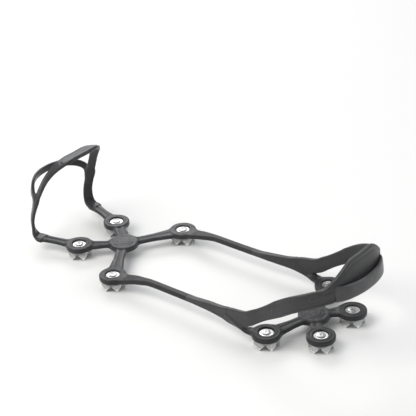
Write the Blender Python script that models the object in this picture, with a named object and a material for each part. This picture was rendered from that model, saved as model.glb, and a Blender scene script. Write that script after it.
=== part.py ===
"""Slip-on ice traction harness for a hiking shoe.

Frame: +Y towards the toe, +Z up, +X to the wearer's right. The origin is the
centre of the footprint on the ground, where the steel teeth touch it.
An elastomer harness (sole webs, arch straps, toe cage, heel strap, heel shield
and pull loop) carries eight toothed steel crown plates, each riveted through
the web against a backing washer.

Design lengths are millimetres, with z = 0 on the web's upper face. They become
world metres when each mesh is made. Tables that serve both sides give the
right-hand side (x > 0) unless their name says left.
"""
import math

import bmesh
import bpy
from mathutils import Matrix, Vector

for leftover in list(bpy.data.objects):
    bpy.data.objects.remove(leftover, do_unlink=True)

# ---------------------------------------------------------- shared dimensions
MM = 0.001
GAP = 0.3                       # clearance between neighbouring pieces
Y_SHIFT = -0.6                  # from the design datum to the footprint centre
SHARP_ANGLE = math.radians(32)  # edges steeper than this are shaded sharp
MERGE_DIST = 1e-4
SIDES = {"left": -1, "right": 1}
UP = (0.0, 0.0, 1.0)

PAD_RADIUS = 10.0               # rubber pad around each crown plate
PAD_THICK = 4.2
PAD_MID_Z = -PAD_THICK / 2
BORE_RADIUS = 2.2               # rivet hole through pad and crown plate
CBORE_DEPTH = 2.0               # counterbore holding the backing washer

CROWN_RADIUS = 8.6
CROWN_THICK = 1.2               # sheet thickness
CROWN_TOP = -PAD_THICK - GAP
CROWN_LOW = CROWN_TOP - CROWN_THICK
TOOTH_HEIGHT = 5.0
WEB_TOP = TOOTH_HEIGHT - CROWN_LOW  # web's upper face above the tooth tips

WASHER_RADIUS = 5.0
WASHER_THICK = 0.8
WASHER_LOW = -CBORE_DEPTH + GAP
CBORE_RADIUS = WASHER_RADIUS + GAP

# Pad centres and plain centre pads (x, y)
FORE_PADS = {"outer": (40.0, 47.0), "inner": (21.0, 98.0)}
FORE_HUB = (0.0, 72.0)
HEEL_PADS = {"outer": (37.0, -89.0), "inner": (19.0, -121.0)}
HEEL_HUB = (0.0, -102.0)

# Hinge lines along X (y, z)
TOE_AXIS = (131.0, -1.2)        # toe cage
ARCH_AXIS = (27.0, 1.0)         # arch strap, front
HEEL_AXIS = (-31.0, 3.4)        # arch strap, rear
STRAP_AXIS = (-76.0, 8.0)       # heel strap
SHIELD_AXIS = (-141.5, 48.2)    # heel shield flex line
LOOP_POINT = (-146.0, 41.0)     # pull loop's origin

# Radii of the barrels on the hinge lines
TOE_BARREL_R = 1.5
ARCH_BARREL_R = 1.8
HEEL_BARREL_R = 2.2
STRAP_BARREL_R = 5.6

# -------------------------------------------------------------- mesh builders


def world(x, y, z):
    """Design millimetres to world metres."""
    return Vector((x, y + Y_SHIFT, z + WEB_TOP)) * MM


def to_object(name, solid):
    """Turns a closed bmesh in design millimetres into an object in metres."""
    bmesh.ops.remove_doubles(solid, verts=solid.verts, dist=MERGE_DIST)
    bmesh.ops.recalc_face_normals(solid, faces=solid.faces)
    if solid.calc_volume(signed=True) < 0:
        bmesh.ops.reverse_faces(solid, faces=solid.faces)
    for vert in solid.verts:
        vert.co = world(*vert.co)
    mesh = bpy.data.meshes.new(name)
    solid.to_mesh(mesh)
    solid.free()
    obj = bpy.data.objects.new(name, mesh)
    bpy.context.collection.objects.link(obj)
    return obj


def boolean(obj, solids, operation):
    """Joins the solids to the object, or cuts them away, one by one."""
    for solid in solids:
        tool = to_object(f"{obj.name}_tool", solid)
        modifier = obj.modifiers.new("bool", 'BOOLEAN')
        modifier.operation = operation
        modifier.solver = 'EXACT'
        modifier.object = tool
        graph = bpy.context.evaluated_depsgraph_get()
        mesh = bpy.data.meshes.new_from_object(obj.evaluated_get(graph))
        obj.modifiers.clear()
        obj.data = mesh
        bpy.data.objects.remove(tool, do_unlink=True)
    return obj


def union(name, solids):
    return boolean(to_object(name, solids[0]), solids[1:], 'UNION')


def spline(rows, steps):
    """Catmull-Rom through the rows; every column is interpolated."""
    points = []
    last = len(rows) - 1
    for i in range(last):
        quad = (rows[max(i - 1, 0)], rows[i], rows[i + 1], rows[min(i + 2, last)])
        for step in range(steps):
            t = step / steps
            points.append([0.5 * (2 * start + (end - before) * t
                                  + (2 * before - 5 * start + 4 * end - after) * t * t
                                  + (3 * start - before - 3 * end + after) * t ** 3)
                           for before, start, end, after in zip(*quad)])
    points.append(list(rows[-1]))
    return points


def band(rows, steps=3, chamfer=0.8):
    """Swept band. A row is x, y, z, width, thickness, nx, ny, nz, where n is
    the direction the band's face looks in; the section has cut corners."""
    points = spline(rows, steps)
    centres = [Vector(point[:3]) for point in points]
    solid = bmesh.new()
    rings = []
    for i, point in enumerate(points):
        before, after = centres[max(i - 1, 0)], centres[min(i + 1, len(points) - 1)]
        tangent = (after - before).normalized()
        face = Vector(point[5:8])
        face = (face - tangent * face.dot(tangent)).normalized()
        across = tangent.cross(face)
        half_w, half_t = point[3] / 2, point[4] / 2
        corner = min(chamfer, half_w * 0.6, half_t * 0.6)
        flat_w, flat_t = half_w - corner, half_t - corner
        section = [(flat_w, half_t), (half_w, flat_t), (half_w, -flat_t),
                   (flat_w, -half_t), (-flat_w, -half_t), (-half_w, -flat_t),
                   (-half_w, flat_t), (-flat_w, half_t)]
        rings.append([solid.verts.new(centres[i] + across * wide + face * thick)
                      for wide, thick in section])
    for ring, following in zip(rings, rings[1:]):
        for k in range(8):
            k_next = (k + 1) % 8
            solid.faces.new((ring[k], ring[k_next], following[k_next], following[k]))
    solid.faces.new(rings[0])
    solid.faces.new(list(reversed(rings[-1])))
    return solid


def on_side(rows, side):
    """Band rows kept (side 1) or mirrored across the centre plane (side -1)."""
    return [[side * row[0], *row[1:5], side * row[5], *row[6:8]] for row in rows]


def round_trip(left_rows, middle_rows):
    """Rows from the left, through the middle, to the mirrored right."""
    return left_rows + middle_rows + on_side(left_rows, -1)[::-1]


def disc(x, y, low, high, radius, segments, bevel=0.0):
    """Upright cylinder, with its rims bevelled if asked."""
    solid = bmesh.new()
    bmesh.ops.create_cone(solid, cap_ends=True, segments=segments, radius1=radius,
                          radius2=radius, depth=high - low,
                          matrix=Matrix.Translation((x, y, (low + high) / 2)))
    if bevel:
        rim = [edge for edge in solid.edges
               if abs(edge.verts[0].co.z - edge.verts[1].co.z) < 1e-6]
        bmesh.ops.bevel(solid, geom=rim, offset=bevel, segments=1,
                        affect='EDGES', profile=0.5)
    return solid


def barrel(x, width, axis, radius, segments=12):
    """Round end of a strap, centred at x and lying along a hinge line."""
    solid = bmesh.new()
    turn = Matrix.Rotation(math.pi / 2, 4, 'Y')
    bmesh.ops.create_cone(solid, cap_ends=True, segments=segments, radius1=radius,
                          radius2=radius, depth=width,
                          matrix=Matrix.Translation((x, *axis)) @ turn)
    return solid


def lathe(x, y, profile, segments):
    """Profile of (radius, z) spun about Z. It runs from the axis back to the
    axis, or is closed into a loop when it starts off the axis."""
    solid = bmesh.new()
    verts = [solid.verts.new((radius, 0.0, z)) for radius, z in profile]
    edges = [solid.edges.new(pair) for pair in zip(verts, verts[1:])]
    if profile[0][0] > 0:
        edges.append(solid.edges.new((verts[-1], verts[0])))
    bmesh.ops.spin(solid, geom=verts + edges, cent=(0, 0, 0), axis=(0, 0, 1),
                   angle=2 * math.pi, steps=segments, use_merge=True)
    bmesh.ops.remove_doubles(solid, verts=solid.verts, dist=MERGE_DIST)
    bmesh.ops.translate(solid, verts=solid.verts, vec=(x, y, 0))
    return solid


# ------------------------------------------------------------------ sole webs
HUB_RADIUS = 11.0               # plain centre pad the sole rests on
ARM_THICK = 3.4
ARM_WAIST = 0.72                # mid width as a share of the mean end width
HUB_ARM_WIDTH = 10              # arm width at the hub
PAD_BEVEL = 0.5
# How far the cutters run past the web, for clean cuts
CBORE_OVERRUN = 2.0
BORE_OVERRUN_TOP = 1.0
BORE_OVERRUN_LOW = 2.0

# Arms from the hub to the pads: end point (x, y), width there
FORE_ARMS = [((34, 50), 12), ((18, 93), 11)]
HEEL_ARMS = [((31, -92), 12), ((15, -115), 11)]

TOE_ARM_START = (22, 101)       # arm from the inner pad to the toe hinge
TOE_BARREL_X = 30
TOE_ARM_WIDTH = 9.0             # at the hinge, and along the barrel

ARCH_STUB_X = 38.6
ARCH_STUB_WIDTH = 8.6           # at the hinge, and along the barrel
# Stub from the outer front pad back to the arch strap's front hinge (band rows)
ARCH_STUB = [[40, 42, PAD_MID_Z, 13, 3.6, *UP],
             [39.3, 34.5, -1.0, 10.5, 3.6, *UP],
             [ARCH_STUB_X, *ARCH_AXIS, ARCH_STUB_WIDTH, 3.6, *UP]]

ARCH_REAR_X = 38.1              # arch strap's rear hinge, from the centre plane
HEEL_BARREL_WIDTH = 5.0
STRAP_BARREL_X = 41.8
STRAP_BARREL_WIDTH = 3.3
# Side band growing from the arch strap's square section to a tall one
HEEL_SIDE_BAND = [[ARCH_REAR_X, *HEEL_AXIS, 4.4, 4.8, 1, 0, 0],
                  [38.6, -42, 3.9, 6.6, 4.2, 1, 0, 0],
                  [39.6, -53, 4.2, 8.6, 3.8, 1, 0, 0],
                  [40.8, -64, 4.9, 12.4, 3.6, 1, 0, 0],
                  [STRAP_BARREL_X, STRAP_AXIS[0], STRAP_AXIS[1] - 0.3, 11.2, 3.4, 1, 0, 0]]
# Lower arm dropping from the side band to the outer heel pad
HEEL_LOWER_ARM = [[40.6, -61, 1.9, 6.0, 3.4, 0.9, 0, -0.2],
                  [41.0, -69, -0.7, 6.0, 3.5, 0.8, 0, -0.6],
                  [40.2, -76, -2.3, 7.0, 3.4, 0.2, 0, -0.95],
                  [37.6, -87, -2.2, 11.0, 3.4, 0, 0, -1]]


def pad_places(pads):
    """(label, x, y) of the pads on both sides."""
    return [(f"{row}_{side_name}", side * x, y)
            for row, (x, y) in pads.items() for side_name, side in SIDES.items()]


def arm(side, start, end, start_width, end_width, end_z=PAD_MID_Z, thick=ARM_THICK):
    """Web arm between two plan points, waisted in the middle."""
    middle = [(start[0] + end[0]) / 2, (start[1] + end[1]) / 2, (PAD_MID_Z + end_z) / 2]
    waist = 0.5 * (start_width + end_width) * ARM_WAIST
    rows = [[*start, PAD_MID_Z, start_width, thick, *UP],
            [*middle, waist, thick, *UP],
            [*end, end_z, end_width, thick, *UP]]
    return band(on_side(rows, side), chamfer=0.7)


def hub_and_pads(hub, pads):
    solids = [disc(*hub, -PAD_THICK, 0.0, HUB_RADIUS, 28, PAD_BEVEL)]
    solids += [disc(x, y, -PAD_THICK, 0.0, PAD_RADIUS, 24, PAD_BEVEL)
               for _, x, y in pad_places(pads)]
    return solids


def hub_arms(side, hub, ends):
    return [arm(side, hub, end, HUB_ARM_WIDTH, width) for end, width in ends]


def cut_pads(web, pads):
    """Cuts the washer's counterbore and the rivet hole in each pad."""
    cutters = []
    for _, x, y in pad_places(pads):
        cutters.append(disc(x, y, -CBORE_DEPTH, CBORE_OVERRUN, CBORE_RADIUS, 20))
        cutters.append(disc(x, y, -PAD_THICK - BORE_OVERRUN_LOW, BORE_OVERRUN_TOP,
                            BORE_RADIUS, 12))
    return boolean(web, cutters, 'DIFFERENCE')


def forefoot_web():
    solids = hub_and_pads(FORE_HUB, FORE_PADS)
    for side in SIDES.values():
        solids += hub_arms(side, FORE_HUB, FORE_ARMS)
        solids += [
            arm(side, TOE_ARM_START, (TOE_BARREL_X, TOE_AXIS[0]), 11, TOE_ARM_WIDTH,
                end_z=TOE_AXIS[1], thick=3.0),
            barrel(side * TOE_BARREL_X, TOE_ARM_WIDTH, TOE_AXIS, TOE_BARREL_R),
            band(on_side(ARCH_STUB, side), chamfer=0.7),
            barrel(side * ARCH_STUB_X, ARCH_STUB_WIDTH, ARCH_AXIS, ARCH_BARREL_R)]
    return cut_pads(union("forefoot_web", solids), FORE_PADS)


def heel_web():
    solids = hub_and_pads(HEEL_HUB, HEEL_PADS)
    for side in SIDES.values():
        solids += hub_arms(side, HEEL_HUB, HEEL_ARMS)
        solids += [
            barrel(side * ARCH_REAR_X, HEEL_BARREL_WIDTH, HEEL_AXIS, HEEL_BARREL_R),
            band(on_side(HEEL_SIDE_BAND, side)),
            barrel(side * STRAP_BARREL_X, STRAP_BARREL_WIDTH, STRAP_AXIS,
                   STRAP_BARREL_R, segments=20),
            band(on_side(HEEL_LOWER_ARM, side))]
    return cut_pads(union("heel_web", solids), HEEL_PADS)


# ---------------------------------------------------------------- arch straps
ARCH_X = 38.0                   # distance from the centre plane at mid arch
ARCH_WIDTH = 5.0
ARCH_HEIGHT = 4.0
ARCH_Z = 3.3                    # height above the web's upper face
ARCH_FRONT_X = 38.5             # distance from the centre plane at the front hinge
# Lapped tongues: the front strap's lies above the rear strap's
FRONT_ROOT_Y, FRONT_TIP_Y = 12.0, -14.0
REAR_ROOT_Y, REAR_TIP_Y = -22.0, 4.0
LAP_MID_Y = (FRONT_TIP_Y + REAR_TIP_Y) / 2
TONGUE_INSET_X = 0.75           # tongue side inside the strap's side
TONGUE_INSET_Z = 0.2            # tongue face inside the strap's face
TONGUE_BURY = 1.0               # tongue root sunk into the strap

FRONT_START_Y = ARCH_AXIS[0] - ARCH_BARREL_R - GAP
REAR_END_Y = HEEL_AXIS[0] + HEEL_BARREL_R + GAP
ARCH_FRONT = [[ARCH_FRONT_X, FRONT_START_Y, ARCH_AXIS[1], 8.4, 3.6, *UP],
              [38.3, 19.0, 2.4, 6.4, 3.8, *UP],
              [ARCH_X, FRONT_ROOT_Y, ARCH_Z, ARCH_WIDTH, ARCH_HEIGHT, *UP]]
ARCH_REAR = [[ARCH_X, REAR_ROOT_Y, ARCH_Z, ARCH_WIDTH, ARCH_HEIGHT, *UP],
             [38.05, (REAR_ROOT_Y + REAR_END_Y) / 2, 3.35, 5.0, 4.2, *UP],
             [ARCH_REAR_X, REAR_END_Y, HEEL_AXIS[1], 5.0, 4.4, *UP]]


def tongue(side, y_low, y_high, z_low, z_high):
    """Square-edged block in line with the arch strap."""
    centre = (side * ARCH_X, (y_low + y_high) / 2, (z_low + z_high) / 2)
    size = (ARCH_WIDTH - 2 * TONGUE_INSET_X, y_high - y_low, z_high - z_low, 1.0)
    solid = bmesh.new()
    bmesh.ops.create_cube(solid, size=1.0,
                          matrix=Matrix.Translation(centre) @ Matrix.Diagonal(size))
    return solid


def arch_front(side, name):
    upper = tongue(side, FRONT_TIP_Y, FRONT_ROOT_Y + TONGUE_BURY,
                   ARCH_Z + GAP / 2, ARCH_Z + ARCH_HEIGHT / 2 - TONGUE_INSET_Z)
    return union(name, [band(on_side(ARCH_FRONT, side), steps=4, chamfer=0.6), upper])


def arch_rear(side, name):
    lower = tongue(side, REAR_ROOT_Y - TONGUE_BURY, REAR_TIP_Y,
                   ARCH_Z - ARCH_HEIGHT / 2 + TONGUE_INSET_Z, ARCH_Z - GAP / 2)
    return union(name, [band(on_side(ARCH_REAR, side), chamfer=0.6), lower])


# ------------------------------------------------------------------- toe cage
CAGE_THICK = 2.8
# Band rows. Riser: from the toe hinge up the left side
LEFT_RISER = [[-30.0, 133.3, -0.3, 8.4, 2.4, 0.12, -0.55, 0.8],
              [-30.5, 135.8, 5.0, 8.0, CAGE_THICK, 0.70, -0.62, 0.25],
              [-30.8, 135.6, 13.0, 7.4, CAGE_THICK, 0.75, -0.62, 0.0],
              [-30.6, 133.2, 21.5, 7.4, CAGE_THICK, 0.75, -0.58, -0.1],
              [-29.6, 129.8, 31.5, 9.2, CAGE_THICK, 0.75, -0.48, -0.35]]
# Upper band, from the riser back and over the toes
LEFT_TOP = [[-30.0, 131.2, 27.5, 6.8, CAGE_THICK, -0.76, 0.48, 0.3],
            [-29.2, 128.0, 35.0, 6.8, CAGE_THICK, -0.74, 0.42, 0.45],
            [-26.6, 121.6, 48.2, 7.0, CAGE_THICK, -0.68, 0.3, 0.68],
            [-21.2, 115.0, 58.2, 9.6, CAGE_THICK, -0.5, 0.27, 0.83],
            [-11.5, 111.0, 62.5, 14.0, CAGE_THICK, -0.24, 0.26, 0.94]]
MIDDLE_TOP = [[0.0, 109.8, 63.2, 15.4, CAGE_THICK, 0.0, 0.25, 0.97]]
# Front band, from the riser forward and round the toe
LEFT_FRONT = [[-30.0, 131.4, 29.5, 6.0, CAGE_THICK, -0.8, 0.55, 0.2],
              [-27.2, 135.8, 35.4, 6.0, CAGE_THICK, -0.75, 0.62, 0.22],
              [-20.5, 141.6, 38.4, 6.0, CAGE_THICK, -0.58, 0.78, 0.22],
              [-11.0, 146.6, 39.3, 6.0, CAGE_THICK, -0.3, 0.93, 0.2]]
MIDDLE_FRONT = [[0.0, 148.2, 39.6, 6.0, CAGE_THICK, 0.0, 0.98, 0.2]]


def toe_cage():
    return union("toe_cage", [band(round_trip(LEFT_TOP, MIDDLE_TOP)),
                              band(round_trip(LEFT_FRONT, MIDDLE_FRONT)),
                              band(LEFT_RISER),
                              band(on_side(LEFT_RISER, -1))])


# ------------------------------------------------------------------ heel path
HEEL_HALF_WIDTH = 42.3
HEEL_FRONT_Y = -103.0           # where the curve round the heel begins
HEEL_DEPTH = 39.0               # from there to the rearmost point
HEEL_POWER = 0.82               # below 1, squarer than an ellipse
HEEL_TOP_Z = 41.8               # strap's middle line at the back
HEEL_DROP = 16.2                # fall to the ends of the curve
ARC_STEPS = 200
NORMAL_STEP = 0.01              # step in u for finding the outward normal


def heel_path(u):
    """Plan position of the heel strap's middle line, u from -1 to 1."""
    angle = u * math.pi / 2
    return (HEEL_HALF_WIDTH * math.copysign(abs(math.sin(angle)) ** HEEL_POWER, u),
            HEEL_FRONT_Y - HEEL_DEPTH * abs(math.cos(angle)) ** HEEL_POWER)


# Running length along half the path
ARC = [0.0]
for arc_step in range(ARC_STEPS):
    ARC.append(ARC[-1] + math.dist(heel_path(arc_step / ARC_STEPS),
                                   heel_path((arc_step + 1) / ARC_STEPS)))


def heel_height(u):
    """Level across the back, then falling with the cube of the distance."""
    part = ARC[round(abs(u) * ARC_STEPS)] / ARC[-1]
    return HEEL_TOP_Z - HEEL_DROP * part ** 3


def heel_frame(u):
    """Plan position and outward plan normal: x, y, nx, ny."""
    x_after, y_after = heel_path(min(u + NORMAL_STEP, 1.0))
    x_before, y_before = heel_path(max(u - NORMAL_STEP, -1.0))
    normal_x, normal_y = y_after - y_before, x_before - x_after
    size = math.hypot(normal_x, normal_y)
    return *heel_path(u), normal_x / size, normal_y / size


def heel_rows(reach, count, width, thick, lift, offset):
    """Band rows round the heel from u = -reach to reach. offset(u) is the
    distance outside the strap's middle line."""
    rows = []
    for i in range(count + 1):
        u = -reach + 2 * reach * i / count
        x, y, normal_x, normal_y = heel_frame(u)
        out = offset(u)
        rows.append([x + normal_x * out, y + normal_y * out, heel_height(u) + lift,
                     width, thick, normal_x, normal_y, 0.12])
    return rows


# ------------------------------------------------- heel strap, shield and loop
STRAP_THICK = 3.0
STRAP_WIDTH = 11.8              # strap height round the heel
STRAP_SLOPE = math.atan2(21.0, 32.0)  # climb away from the hinge
STRAP_REACH = STRAP_BARREL_R + GAP    # hinge line to the strap's end
# Strap side from the hinge to the start of the heel curve (band rows)
LEFT_STRAP = [[-42.0, STRAP_AXIS[0] - STRAP_REACH * math.cos(STRAP_SLOPE),
               STRAP_AXIS[1] + STRAP_REACH * math.sin(STRAP_SLOPE),
               10.6, STRAP_THICK, -1, 0, 0.0],
              [-42.4, -89.0, 16.2, 9.8, STRAP_THICK, -1, 0, 0.02],
              [-42.5, -96.5, 21.2, 10.6, STRAP_THICK, -1, 0, 0.05]]

SHIELD_THICK = 2.4
SHIELD_REACH = 0.5              # shares of the half heel, like u
SHIELD_FLAT = 0.15              # half span of the level top
SHIELD_TOP_Z = 61.6
SHIELD_FALL = 52.0              # drop of the rim per unit of u past the flat
SHIELD_LIFT = 0.9               # lower edge above the strap's upper edge
SHIELD_MIN_HEIGHT = 1.2
SHIELD_LEAN = 0.12              # inward lean per unit of height
SHIELD_INSET = 0.2
SHIELD_COLUMNS = 20
SHIELD_LEVELS = 5

LOOP_THICK = 2.4
LOOP_WIDTH = 10.0
LOOP_REACH = 0.3
LOOP_LIFT = 0.3
LOOP_BULGE = 2.2                # extra stand-off at the middle


def heel_strap():
    curve = heel_rows(1.0, 18, STRAP_WIDTH, STRAP_THICK, 0.0, lambda u: 0.0)
    return to_object("heel_strap", band(round_trip(LEFT_STRAP, curve), steps=2))


def shield_grid(solid, face_side):
    """Columns of vertices on the outer (1) or inner (-1) face."""
    grid = []
    for i in range(SHIELD_COLUMNS + 1):
        u = -SHIELD_REACH + 2 * SHIELD_REACH * i / SHIELD_COLUMNS
        low = heel_height(u) + STRAP_WIDTH / 2 + SHIELD_LIFT
        rim = SHIELD_TOP_Z - SHIELD_FALL * max(0.0, abs(u) - SHIELD_FLAT)
        high = max(rim, low + SHIELD_MIN_HEIGHT)
        x, y, normal_x, normal_y = heel_frame(u)
        column = []
        for j in range(SHIELD_LEVELS + 1):
            z = low + (high - low) * j / SHIELD_LEVELS
            out = -SHIELD_LEAN * (z - low) + face_side * SHIELD_THICK / 2 - SHIELD_INSET
            column.append(solid.verts.new((x + normal_x * out, y + normal_y * out, z)))
        grid.append(column)
    return grid


def heel_shield():
    """Curved trapezoid standing just above the strap's upper edge."""
    solid = bmesh.new()
    outer = shield_grid(solid, 1)
    inner = shield_grid(solid, -1)
    for i in range(SHIELD_COLUMNS):
        for j in range(SHIELD_LEVELS):
            solid.faces.new((outer[i][j], outer[i + 1][j],
                             outer[i + 1][j + 1], outer[i][j + 1]))
            solid.faces.new((inner[i][j], inner[i][j + 1],
                             inner[i + 1][j + 1], inner[i + 1][j]))
        for j in (0, SHIELD_LEVELS):
            solid.faces.new((outer[i][j], inner[i][j], inner[i + 1][j], outer[i + 1][j]))
    for i in (0, SHIELD_COLUMNS):
        for j in range(SHIELD_LEVELS):
            solid.faces.new((outer[i][j], outer[i][j + 1], inner[i][j + 1], inner[i][j]))
    return to_object("heel_shield", solid)


def loop_offset(u):
    """Clear of the strap at the ends, bulging out at the middle."""
    return (STRAP_THICK / 2 + GAP + LOOP_THICK / 2
            + LOOP_BULGE * math.cos(u / LOOP_REACH * math.pi / 2))


def pull_loop():
    rows = heel_rows(LOOP_REACH, 14, LOOP_WIDTH, LOOP_THICK, LOOP_LIFT, loop_offset)
    return to_object("pull_loop", band(rows, steps=1))


# ---------------------------------------------------------------- steel parts
CROWN_TEETH = 6
TOOTH_POINTS = 4                # mesh points round the rim per tooth
TOOTH_ROOT = 0.4                # wall left below the sheet between teeth
CROWN_CORNER = 0.6              # cut corner at the plate's top rim
TOOTH_SPLAY = 0.25              # outward spread at the teeth
SHANK_RADIUS = BORE_RADIUS - GAP
HEAD_RADIUS = 3.6
FLARE_RADIUS = 3.0
FLARE_THICK = 0.4
WASHER_BORE = BORE_RADIUS + 0.1


def crown(x, y):
    """Stamped cup with a saw-tooth rim, pierced for the rivet."""
    count = CROWN_TEETH * TOOTH_POINTS
    solid = bmesh.new()
    rings = [[] for _ in range(7)]
    for k in range(count):
        angle = 2 * math.pi * k / count + math.pi / CROWN_TEETH
        reach = abs(2 * (k % TOOTH_POINTS) / TOOTH_POINTS - 1)  # 1 at a tip, 0 at a root
        tooth_z = CROWN_LOW - TOOTH_ROOT - (TOOTH_HEIGHT - TOOTH_ROOT) * reach
        section = [(BORE_RADIUS, CROWN_TOP),
                   (CROWN_RADIUS - CROWN_CORNER, CROWN_TOP),
                   (CROWN_RADIUS, CROWN_TOP - CROWN_CORNER),
                   (CROWN_RADIUS + TOOTH_SPLAY, tooth_z),
                   (CROWN_RADIUS - CROWN_THICK + TOOTH_SPLAY, tooth_z),
                   (CROWN_RADIUS - CROWN_THICK, CROWN_LOW),
                   (BORE_RADIUS, CROWN_LOW)]
        for ring, (radius, z) in zip(rings, section):
            ring.append(solid.verts.new((x + radius * math.cos(angle),
                                         y + radius * math.sin(angle), z)))
    for ring, following in zip(rings, rings[1:] + rings[:1]):
        for k in range(count):
            k_next = (k + 1) % count
            solid.faces.new((ring[k], ring[k_next], following[k_next], following[k]))
    return solid


def rivet(x, y):
    """Domed head under the crown plate, shank, and flare over the washer."""
    under = CROWN_LOW - GAP
    upper = WASHER_LOW + WASHER_THICK + GAP
    return lathe(x, y, [(0.0, under - 1.3), (1.4, under - 1.2), (2.7, under - 0.8),
                        (HEAD_RADIUS, under), (SHANK_RADIUS, under),
                        (SHANK_RADIUS, upper), (FLARE_RADIUS, upper),
                        (FLARE_RADIUS - FLARE_THICK, upper + FLARE_THICK),
                        (0.0, upper + FLARE_THICK)], segments=12)


def washer(x, y):
    high = WASHER_LOW + WASHER_THICK
    return lathe(x, y, [(WASHER_BORE, WASHER_LOW), (WASHER_RADIUS, WASHER_LOW),
                        (WASHER_RADIUS, high), (WASHER_BORE, high)], segments=16)


# ------------------------------------------------------------------ materials
RUBBER_GREY = (0.075, 0.075, 0.080)
LOOP_GREY = (0.16, 0.16, 0.165)
STEEL = (0.60, 0.60, 0.61)
WASHER_STEEL = (0.50, 0.51, 0.53)


def material(name, colour, roughness, metallic):
    surface = bpy.data.materials.new(name)
    surface.use_nodes = True
    shader = surface.node_tree.nodes["Principled BSDF"]
    shader.inputs["Base Color"].default_value = (*colour, 1.0)
    shader.inputs["Roughness"].default_value = roughness
    shader.inputs["Metallic"].default_value = metallic
    return surface


def elastomer(name, roughness=0.55, colour=RUBBER_GREY):
    return material(name, colour, roughness, metallic=0.0)


# ------------------------------------------------------------------- assembly


def pivot(name, point, parent=None):
    """Empty at a design point; "place" keeps its world position."""
    empty = bpy.data.objects.new(name, None)
    empty.empty_display_size = 0.02
    bpy.context.collection.objects.link(empty)
    empty.parent = parent
    here = world(*point)
    empty.location = here - (Vector(parent["place"]) if parent else Vector())
    empty["place"] = here
    return empty


def place(obj, parent, point, surface):
    """Puts the object's origin at a design point under its pivot."""
    here = world(*point)
    obj.data.transform(Matrix.Translation(-here))
    obj.parent = parent
    obj.location = here - Vector(parent["place"])
    obj.data.materials.clear()
    obj.data.materials.append(surface)
    obj.data.shade_smooth()
    obj.data.set_sharp_from_angle(angle=SHARP_ANGLE)


forefoot = pivot("forefoot_frame", (0, 0, 0))
toe_pivot = pivot("toe_cage_pivot", (0, *TOE_AXIS), forefoot)
arch_pivot = pivot("arch_front_pivot", (0, *ARCH_AXIS), forefoot)
arch_slide = pivot("arch_slide", (0, LAP_MID_Y, ARCH_Z), arch_pivot)
heel_pivot = pivot("heel_pivot", (0, *HEEL_AXIS), arch_slide)
strap_pivot = pivot("heel_strap_pivot", (0, *STRAP_AXIS), heel_pivot)
shield_pivot = pivot("heel_shield_pivot", (0, *SHIELD_AXIS), strap_pivot)
loop_slide = pivot("pull_loop_slide", (0, *LOOP_POINT), strap_pivot)

place(forefoot_web(), forefoot, (*FORE_HUB, PAD_MID_Z), elastomer("elastomer"))
place(heel_web(), heel_pivot, (0, *HEEL_AXIS), elastomer("heel_elastomer"))
for side_name, side in SIDES.items():
    name = f"arch_strap_front_{side_name}"
    place(arch_front(side, name), arch_pivot, (side * ARCH_FRONT_X, *ARCH_AXIS),
          elastomer(name + "_elastomer"))
    name = f"arch_strap_rear_{side_name}"
    place(arch_rear(side, name), arch_slide, (side * ARCH_X, LAP_MID_Y, ARCH_Z),
          elastomer(name + "_elastomer"))
place(toe_cage(), toe_pivot, (0, *TOE_AXIS), elastomer("toe_elastomer", roughness=0.52))
place(heel_strap(), strap_pivot, (0, *STRAP_AXIS),
      elastomer("strap_elastomer", roughness=0.5))
place(heel_shield(), shield_pivot, (0, *SHIELD_AXIS),
      elastomer("shield_elastomer", roughness=0.5))
place(pull_loop(), loop_slide, (0, *LOOP_POINT),
      elastomer("loop_elastomer", roughness=0.45, colour=LOOP_GREY))

# Steel parts at each pad: name, builder, origin height, colour, roughness
STEEL_PARTS = [("crown_plate", crown, -PAD_THICK, STEEL, 0.32),
               ("rivet", rivet, -PAD_THICK, STEEL, 0.28),
               ("washer", washer, -CBORE_DEPTH, WASHER_STEEL, 0.35)]
for group, pads, holder in (("fore", FORE_PADS, forefoot), ("heel", HEEL_PADS, heel_pivot)):
    for label, x, y in pad_places(pads):
        for part, build, z, colour, roughness in STEEL_PARTS:
            name = f"{part}_{group}_{label}"
            place(to_object(name, build(x, y)), holder, (x, y, z),
                  material(name + "_steel", colour, roughness, metallic=1.0))
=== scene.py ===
# Slip-on grip for a shoe: a moulded rubber harness (forefoot web with toe cage, arch
# straps, heel web, heel strap with tab and pull loop) that carries toothed steel crowns
# under the sole. The toe points to +Y, the wearer's left is -X and the teeth point down.
import math

import bmesh
import bpy
import numpy as np
from mathutils import Matrix, Vector


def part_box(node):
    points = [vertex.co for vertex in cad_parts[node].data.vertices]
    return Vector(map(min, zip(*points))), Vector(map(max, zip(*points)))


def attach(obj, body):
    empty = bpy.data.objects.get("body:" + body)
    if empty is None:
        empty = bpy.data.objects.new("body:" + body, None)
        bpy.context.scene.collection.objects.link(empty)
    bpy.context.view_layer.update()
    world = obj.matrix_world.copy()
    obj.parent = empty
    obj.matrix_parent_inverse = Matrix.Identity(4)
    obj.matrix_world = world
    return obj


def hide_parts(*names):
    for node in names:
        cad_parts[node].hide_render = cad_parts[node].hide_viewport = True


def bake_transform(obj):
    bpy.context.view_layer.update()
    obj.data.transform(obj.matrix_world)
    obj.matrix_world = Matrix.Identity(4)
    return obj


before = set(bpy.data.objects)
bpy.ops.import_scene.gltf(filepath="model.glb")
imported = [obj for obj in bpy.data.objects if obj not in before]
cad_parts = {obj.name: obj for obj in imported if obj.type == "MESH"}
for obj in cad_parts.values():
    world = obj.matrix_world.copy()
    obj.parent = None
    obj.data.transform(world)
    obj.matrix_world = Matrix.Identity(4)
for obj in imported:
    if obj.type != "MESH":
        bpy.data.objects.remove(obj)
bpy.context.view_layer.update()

MM = 0.001
GRID = 0.62          # meshing step of the moulded rubber, mm
CROWN_SEGMENTS = 96
ROUND_SEGMENTS = 48   # rivets and washers
SIDES = ((-1, "left"), (1, "right"))

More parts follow.
